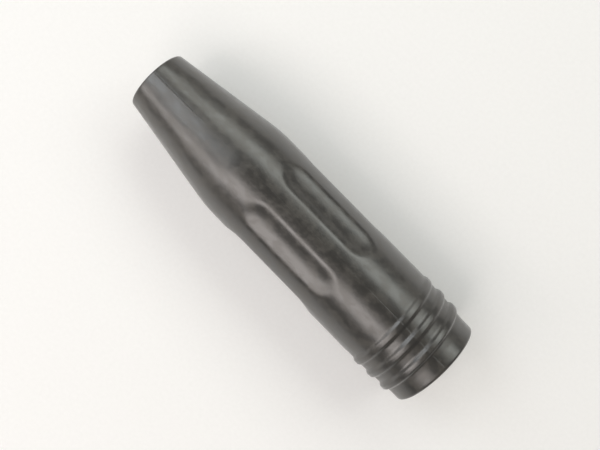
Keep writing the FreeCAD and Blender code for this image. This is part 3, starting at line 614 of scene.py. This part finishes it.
class Sheet:
    """A short way to lay out nodes: each method adds one node and returns its output."""

    def __init__(self, tree):
        self.nodes, self.links = tree.nodes, tree.links

    def feed(self, node, values):
        for key, value in values.items():
            if isinstance(value, bpy.types.NodeSocket):
                self.links.new(value, node.inputs[key])
            else:
                node.inputs[key].default_value = value
        return node

    def object_spot(self, scale=(1, 1, 1), shift=(0, 0, 0)):
        spot = self.nodes.new("ShaderNodeTexCoord").outputs["Object"]
        mapping = self.nodes.new("ShaderNodeMapping")
        return self.feed(mapping, {"Vector": spot, "Scale": scale, "Location": shift}).outputs[0]

    def noise(self, spot, scale, detail, roughness):
        node = self.nodes.new("ShaderNodeTexNoise")
        return self.feed(node, {"Vector": spot, "Scale": scale, "Detail": detail,
                                "Roughness": roughness}).outputs[0]

    def ramp(self, value, low, high, to_low=0.0, to_high=1.0):
        node = self.nodes.new("ShaderNodeMapRange")
        node.interpolation_type = "SMOOTHSTEP"
        return self.feed(node, {"Value": value, "From Min": low, "From Max": high,
                                "To Min": to_low, "To Max": to_high}).outputs[0]

    def work_out(self, operation, *values):
        node = self.nodes.new("ShaderNodeMath")
        node.operation = operation
        return self.feed(node, dict(enumerate(values))).outputs[0]

    def plus(self, first, second):
        return self.work_out("ADD", first, second)

    def less(self, first, second):
        return self.work_out("SUBTRACT", first, second)

    def times(self, first, second):
        return self.work_out("MULTIPLY", first, second)

    def larger(self, first, second):
        return self.work_out("MAXIMUM", first, second)

    def size_of(self, value):
        return self.work_out("ABSOLUTE", value)

    def blend(self, share, first, second):
        node = self.nodes.new("ShaderNodeMix")
        node.data_type = "RGBA"
        for key, value in (("Factor", share), ("A", first), ("B", second)):
            socket = next(s for s in node.inputs if s.name == key and s.enabled)
            if isinstance(value, bpy.types.NodeSocket):
                self.links.new(value, socket)
            else:
                socket.default_value = value
        return next(s for s in node.outputs if s.enabled)

    def parts(self, spot):
        node = self.nodes.new("ShaderNodeSeparateXYZ")
        return self.feed(node, {0: spot}).outputs

    def place(self, tree, **values):
        node = self.nodes.new("ShaderNodeGroup")
        node.node_tree = tree
        return self.feed(node, {key.replace("_", " "): value for key, value in values.items()}).outputs


FINISH = [("Colour", "NodeSocketColor"), ("Roughness", "NodeSocketFloat"), ("Height", "NodeSocketFloat")]


def group_of(name, inputs):
    """A node group that puts out a finish: the group, its sheet, its inputs and the node at its end."""
    tree = bpy.data.node_groups.new(name, "ShaderNodeTree")
    for label, value in inputs.items():
        kind = "NodeSocketFloat" if isinstance(value, float) else "NodeSocketColor"
        tree.interface.new_socket(label, in_out="INPUT", socket_type=kind).default_value = value
    for label, kind in FINISH:
        tree.interface.new_socket(label, in_out="OUTPUT", socket_type=kind)
    return tree, Sheet(tree), tree.nodes.new("NodeGroupInput").outputs, tree.nodes.new("NodeGroupOutput")


def make_handled_plastic():
    """Dull scuffs, dust and fine grain of plastic that has been handled."""
    tree, sheet, given, result = group_of("handled plastic", {
        "Colour": (0.03, 0.03, 0.03, 1), "Dust Colour": (0.1, 0.095, 0.09, 1), "Dust": 0.3,
        "Smooth Roughness": 0.35, "Scuffed Roughness": 0.55})
    patches = sheet.ramp(sheet.noise(sheet.object_spot(scale=(0.8, 1, 1)), 290, 3, 0.55), 0.36, 0.64)
    mottle = sheet.ramp(sheet.noise(sheet.object_spot(), 800, 3, 0.6), 0.3, 0.7)
    streaks = sheet.ramp(sheet.noise(sheet.object_spot(scale=(0.08, 1, 1)), 1400, 2, 0.5), 0.45, 0.75)
    grain = sheet.noise(sheet.object_spot(), 5200, 2, 0.5)
    worn = sheet.times(patches, sheet.plus(0.5, sheet.times(mottle, 0.5)))
    worn = sheet.plus(worn, sheet.times(streaks, 0.15))
    colour = sheet.blend(sheet.times(worn, given["Dust"]), given["Colour"], given["Dust Colour"])
    rough = sheet.ramp(sheet.plus(worn, sheet.times(grain, 0.12)), 0, 1,
                       given["Smooth Roughness"], given["Scuffed Roughness"])
    height = sheet.plus(sheet.times(grain, 0.5), sheet.times(worn, 0.2))
    sheet.feed(result, {"Colour": colour, "Roughness": rough, "Height": height})
    return tree


def make_lathe_marks():
    """Fine rings that a tool leaves round the barrel's axis, with tarnished patches."""
    tree, sheet, given, result = group_of("lathe marks", {
        "Colour": (0.7, 0.5, 0.2, 1), "Tarnish Colour": (0.3, 0.2, 0.1, 1), "Tarnish": 0.4,
        "Bright Roughness": 0.22, "Dull Roughness": 0.45})
    centred = sheet.object_spot(shift=(0, 0, -AXIS_Z))
    x, y, z = sheet.parts(centred)
    off_axis = sheet.work_out("SQRT", sheet.plus(sheet.times(y, y), sheet.times(z, z)))
    rings = sheet.feed(sheet.nodes.new("ShaderNodeCombineXYZ"), {"X": x, "Y": off_axis}).outputs[0]
    marks = sheet.noise(rings, 4200, 2, 0.5)
    patches = sheet.ramp(sheet.noise(centred, 260, 4, 0.6), 0.44, 0.7)
    colour = sheet.blend(sheet.times(patches, given["Tarnish"]), given["Colour"], given["Tarnish Colour"])
    rough = sheet.ramp(sheet.plus(patches, sheet.times(marks, 0.3)), 0, 1.2,
                       given["Bright Roughness"], given["Dull Roughness"])
    sheet.feed(result, {"Colour": colour, "Roughness": rough, "Height": marks})
    return tree


HANDLED_PLASTIC = make_handled_plastic()
LATHE_MARKS = make_lathe_marks()


# Materials

GRAIN_HEIGHT, TOOL_MARK_HEIGHT, MOULDING_HEIGHT = 0.0001, 0.00006, 0.0009
LINE_EDGE, LINE_TOP = 0.00026, 0.00004
# Place and width of the line of painted shade that runs along one side of the mould line.
SHADE_LINE_ASIDE, SHADE_LINE_EDGE, SHADE_LINE_MIDDLE = 0.00022, 0.00018, 0.00006


def new_material(name, **constants):
    """A material with its shader, and constants set on the shader's own sockets."""
    material = bpy.data.materials.new(name)
    material.use_nodes = True
    tree = material.node_tree
    shader = tree.nodes["Principled BSDF"]
    for key, value in constants.items():
        shader.inputs[key.replace("_", " ")].default_value = value
    return material, Sheet(tree), shader


def dress(sheet, shader, colour, roughness, height, strength, distance):
    """Joins a finish to the shader, its height through a bump."""
    bump = sheet.feed(sheet.nodes.new("ShaderNodeBump"),
                      {"Height": height, "Strength": strength, "Distance": distance})
    sheet.feed(shader, {"Base Color": colour, "Roughness": roughness, "Normal": bump.outputs[0]})


def plastic(name, colour, dust_colour, dust, smooth, scuffed, strength=0.12, **constants):
    """A moulded plastic or rubber that has been handled."""
    material, sheet, shader = new_material(name, **constants)
    finish = sheet.place(HANDLED_PLASTIC, Colour=colour, Dust_Colour=dust_colour, Dust=dust,
                         Smooth_Roughness=smooth, Scuffed_Roughness=scuffed)
    dress(sheet, shader, finish["Colour"], finish["Roughness"], finish["Height"], strength, GRAIN_HEIGHT)
    return material


def metal(name, colour, tarnish_colour, tarnish, bright, dull, strength=0.15):
    """A turned metal that has begun to tarnish."""
    material, sheet, shader = new_material(name, Metallic=1.0)
    finish = sheet.place(LATHE_MARKS, Colour=colour, Tarnish_Colour=tarnish_colour, Tarnish=tarnish,
                         Bright_Roughness=bright, Dull_Roughness=dull)
    dress(sheet, shader, finish["Colour"], finish["Roughness"], finish["Height"], strength, TOOL_MARK_HEIGHT)
    return material


def make_sleeve_plastic():
    """Satin black moulding: mould line on top and below with a line of painted shade beside it, a colour that
    grows paler towards the nose, shallow sinks, dust and fine scratches.
    """
    material, sheet, shader = new_material("satin black moulding", IOR=1.95, Sheen_Weight=0.5,
                                           Sheen_Roughness=0.36)
    x, y, z = sheet.parts(sheet.object_spot())
    towards_the_nose = sheet.ramp(x, along(60), along(25))
    # The body colour grows paler towards the nose.
    paler_towards_nose = sheet.blend(towards_the_nose, (0.0092, 0.0077, 0.0049, 1), (0.026, 0.0235, 0.019, 1))
    finish = sheet.place(HANDLED_PLASTIC, Colour=paler_towards_nose, Dust_Colour=(0.108, 0.089, 0.064, 1), Dust=0.2,
                         Smooth_Roughness=0.3, Scuffed_Roughness=0.4)

    aside = sheet.less(sheet.times(y, math.cos(ROLL)), sheet.times(sheet.less(z, AXIS_Z), math.sin(ROLL)))
    near_nose = sheet.ramp(x, along(30), along(16))
    over_thread = sheet.ramp(x, along(100), along(118))
    strength = sheet.plus(0.12, sheet.larger(near_nose, sheet.times(over_thread, 0.22)))
    mould_line = sheet.times(sheet.ramp(sheet.size_of(aside), LINE_EDGE, LINE_TOP), strength)
    # Painted shade: a dark line painted into the colour along one side of the mould line, where the ridge's
    # shade falls.
    beside = sheet.size_of(sheet.less(aside, SHADE_LINE_ASIDE))
    painted_shade = sheet.times(sheet.ramp(beside, SHADE_LINE_EDGE, SHADE_LINE_MIDDLE), sheet.times(strength, 0.7))
    colour = sheet.blend(painted_shade, finish["Colour"], (0.006, 0.0055, 0.005, 1))

    sinks = sheet.noise(sheet.object_spot(scale=(0.5, 1, 1)), 85, 2, 0.45)
    waves = sheet.times(sinks, sheet.ramp(x, along(48), along(20), 0.22, 0.9))
    on_thread = sheet.ramp(x, along(110), along(116))
    scratches = sheet.noise(sheet.object_spot(scale=(1, 0.06, 0.06)), 4200, 2, 0.6)
    scratches = sheet.times(scratches, sheet.times(on_thread, 0.02))
    height = sheet.plus(waves, sheet.times(mould_line, 0.11))
    height = sheet.plus(height, sheet.times(finish["Height"], 0.02))
    height = sheet.plus(height, scratches)
    dress(sheet, shader, colour, finish["Roughness"], height, 1.0, MOULDING_HEIGHT)
    return material


SATIN_BLACK = make_sleeve_plastic()
RUBBER = plastic("black rubber", (0.02, 0.02, 0.02, 1), (0.07, 0.067, 0.062, 1),
                 dust=0.6, smooth=0.62, scuffed=0.8, strength=0.2, IOR=1.45)
PHENOLIC = plastic("brown phenolic", (0.17, 0.075, 0.035, 1), (0.3, 0.19, 0.12, 1),
                   dust=0.35, smooth=0.34, scuffed=0.5, IOR=1.55)
NYLON = plastic("natural nylon", (0.72, 0.68, 0.58, 1), (0.5, 0.46, 0.38, 1),
                dust=0.3, smooth=0.36, scuffed=0.5, strength=0.08, IOR=1.53)
FILLED_NYLON = plastic("dark filled nylon", (0.05, 0.05, 0.053, 1), (0.16, 0.155, 0.15, 1),
                       dust=0.4, smooth=0.4, scuffed=0.58, strength=0.2, IOR=1.52)
RED_SHEATH = plastic("red wire sheath", (0.42, 0.03, 0.025, 1), (0.3, 0.1, 0.08, 1),
                     dust=0.3, smooth=0.38, scuffed=0.5, strength=0.06, IOR=1.5)
BLUE_SLEEVE = plastic("blue crimp sleeve", (0.05, 0.13, 0.42, 1), (0.2, 0.25, 0.4, 1),
                      dust=0.25, smooth=0.25, scuffed=0.4, strength=0.05, IOR=1.5)
BRASS = metal("turned brass", (0.74, 0.55, 0.27, 1), (0.5, 0.36, 0.19, 1),
              tarnish=0.35, bright=0.2, dull=0.4)
STEEL = metal("turned steel", (0.56, 0.56, 0.57, 1), (0.3, 0.29, 0.28, 1),
              tarnish=0.3, bright=0.24, dull=0.42)
SPRING_STEEL = metal("spring steel", (0.47, 0.47, 0.49, 1), (0.22, 0.21, 0.2, 1),
                     tarnish=0.3, bright=0.26, dull=0.45, strength=0.08)
DARK_STEEL = metal("blackened steel", (0.12, 0.12, 0.125, 1), (0.2, 0.15, 0.11, 1),
                   tarnish=0.35, bright=0.34, dull=0.55, strength=0.08)


# The pieces, and the bodies that they ride

finish_piece(make_sleeve(), "sleeve", "moulded_black", SATIN_BLACK, "grip_sleeve")
finish_piece(make_cable_bush(), "sleeve", "black_rubber", RUBBER, "cable_bush")
finish_piece(make_plug_body(), "core", "turned_brass", BRASS, "plug_body")
finish_piece(make_plug_nut(), "core", "plain_steel", STEEL, "plug_nut")
finish_piece(make_pin_carrier(), "core", "brown_phenolic", PHENOLIC, "pin_carrier")
finish_piece(make_lock_ring(), "lock_ring", "filled_nylon", FILLED_NYLON, "lock_ring")
finish_piece(make_stem_nut(), "core", "turned_brass", BRASS, "stem_nut")

CLIPS = [
    ("bush_clip", "sleeve", 8.77, 10.77, 13.63, 0.9),
    ("lock_washer", "core", 5.1, 7.748, 50.0, 1.2),
    ("disc_clip", "core", 4.43, 7.4, 69.07, 0.9),
    ("ring_clip", "core", 12.13, 14.0, 129.23, 0.9),
]
for node, body, inner, outer, station, thickness in CLIPS:
    clip = make_split_clip(node + "_rounded", inner, outer, station, thickness)
    finish_piece(clip, body, "spring_steel", SPRING_STEEL, node)

left_pin = finish_piece(make_control_pin(), "control_pin_left", "turned_brass", BRASS, "control_pin_left")
right_pin = copy_across(left_pin, "contact_pin_right", "control_pin_left", "control_pin_right")
finish_piece(right_pin, "control_pin_right", "turned_brass", BRASS, "control_pin_right")

left_coil = make_pin_spring()
right_coil = copy_across(left_coil, "pin_spring_coil_right", "control_pin_left", "control_pin_right")
for side, coil in (("left", left_coil), ("right", right_coil)):
    node = "pin_spring_" + side
    finish_piece(coil, "core", "spring_steel", SPRING_STEEL, node)
    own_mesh(coil)

CARRIED_OVER = {
    "cable_socket": BRASS, "clamp_screws": DARK_STEEL, "socket_insulator": PHENOLIC, "conductor_stem": BRASS,
    "centring_disc": NYLON, "wire_guide": STEEL, "plug_seals": RUBBER, "thrust_washer": NYLON,
    "pin_terminals": BRASS, "control_leads": RED_SHEATH, "lead_splices": BLUE_SLEEVE,
}
for name, material in CARRIED_OVER.items():
    NODES[name].data.materials.clear()
    NODES[name].data.materials.append(material)


# Floor, light and camera

LIGHT_DISTANCE = 0.8
LIT_FROM, LIT_TO = -0.1, 0.03
FLOOR_GLOW = 0.16


def make_floor():
    """A plain pale floor, which the camera and the gloss see a little brighter than it is lit."""
    deselect_all()
    bpy.ops.mesh.primitive_plane_add(size=3, location=(0, 0, 0))
    floor = bpy.context.object
    floor.name = "floor"
    material, sheet, shader = new_material("pale mat", Roughness=0.75, Emission_Color=(0.81, 0.805, 0.795, 1))
    fibres = sheet.noise(sheet.object_spot(), 700, 3, 0.6)
    colour = sheet.blend(fibres, (0.78, 0.775, 0.765, 1), (0.84, 0.835, 0.825, 1))
    rays = sheet.nodes.new("ShaderNodeLightPath").outputs
    seen = sheet.larger(rays["Is Camera Ray"], sheet.larger(rays["Is Glossy Ray"], rays["Is Transmission Ray"]))
    sheet.feed(shader, {"Base Color": colour, "Emission Strength": sheet.times(seen, FLOOR_GLOW)})
    floor.data.materials.append(material)


def soft_light(name, spot, width, length, power, colour):
    """A long soft panel that faces the nearest part of the barrel's middle."""
    lamp = bpy.data.lights.new(name, "AREA")
    lamp.shape = "RECTANGLE"
    lamp.size, lamp.size_y = length, width
    lamp.energy = power
    lamp.color = colour
    holder = bpy.data.objects.new(name, lamp)
    bpy.context.scene.collection.objects.link(holder)
    holder.location = spot
    facing = Vector((min(max(spot[0], LIT_FROM), LIT_TO), 0, AXIS_Z)) - Vector(spot)
    holder.rotation_euler = facing.to_track_quat("-Z", "Y").to_euler()


def from_axis(angle, x):
    """A point beside the barrel, at an angle from straight up towards +Y."""
    swing = math.radians(angle)
    return (x, LIGHT_DISTANCE * math.sin(swing), LIGHT_DISTANCE * math.cos(swing))


make_floor()
soft_light("panel beyond", from_axis(44, LIT_FROM), width=0.38, length=1.05, power=2.85,
           colour=(0.97, 1.0, 0.94))
soft_light("panel near", from_axis(-36, LIT_TO), width=0.4, length=0.62, power=2.5,
           colour=(1.0, 0.93, 0.895))
soft_light("panel near the nose", (-0.48, -0.7, 0.56), width=0.35, length=0.5, power=1.55,
           colour=(1.0, 0.94, 0.91))
soft_light("panel at the nose", (-0.54, -0.09, 0.58), width=0.45, length=0.43, power=1.5,
           colour=(0.93, 0.97, 1.0))

world = bpy.data.worlds.new("room")
world.use_nodes = True
bpy.context.scene.world = world
backdrop = world.node_tree.nodes["Background"]
backdrop.inputs["Color"].default_value = (1, 0.97, 0.93, 1)
backdrop.inputs["Strength"].default_value = 0.25

camera = bpy.data.cameras.new("camera")
camera.sensor_width = 36
camera.lens = 45.2
viewer = bpy.data.objects.new("camera", camera)
bpy.context.scene.collection.objects.link(viewer)
viewer.location = (0.0019, 0.0003, 0.294)
viewer.rotation_euler = (0, 0, math.radians(45.6))
bpy.context.scene.camera = viewer
bpy.context.scene.view_settings.view_transform = "Standard"
